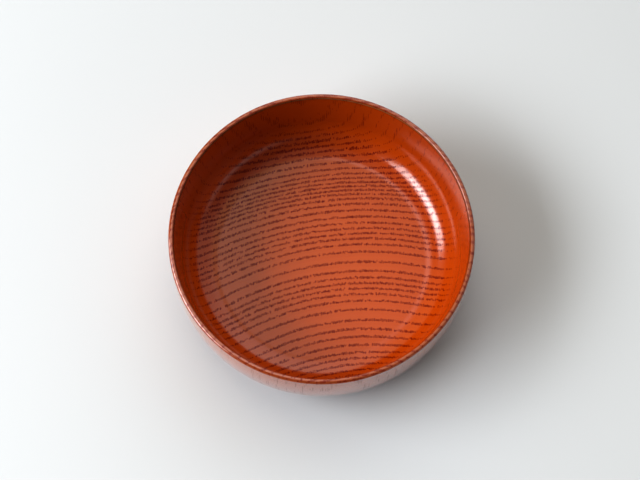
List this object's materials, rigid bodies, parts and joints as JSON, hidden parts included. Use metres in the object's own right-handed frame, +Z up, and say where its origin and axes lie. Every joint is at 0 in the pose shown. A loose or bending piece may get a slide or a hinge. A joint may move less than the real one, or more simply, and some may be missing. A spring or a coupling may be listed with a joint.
{
  "type": "rice bowl",
  "caption": "Low round wooden bowl with near-upright walls, a thin rounded lip, a wide level inside floor and a turned foot ring, in semi-gloss red lacquer that lets the wood's grain lines show.",
  "frame": {"origin": "centre of the foot ring's standing edge, on the axis of turning", "axes": "+Z up along the axis of turning; X and Y are level"},
  "size_m": [0.1212, 0.1212, 0.039],
  "materials": {
    "wood": "bare turned wood, fine sanded, end grain",
    "lacquer_inside": "semi-gloss vermilion lacquer over wood, with the open pores left dark",
    "lacquer_outside": "semi-gloss vermilion lacquer over wood, with the open pores left dark, rubbed thinner along the lip",
    "lacquer_foot": "satin vermilion lacquer"
  },
  "bodies": {
    "root": {"turned_bowl": "wood", "inside_lacquer": "lacquer_inside", "outside_lacquer": "lacquer_outside", "foot_lacquer": "lacquer_foot"}
  },
  "joints": []
}
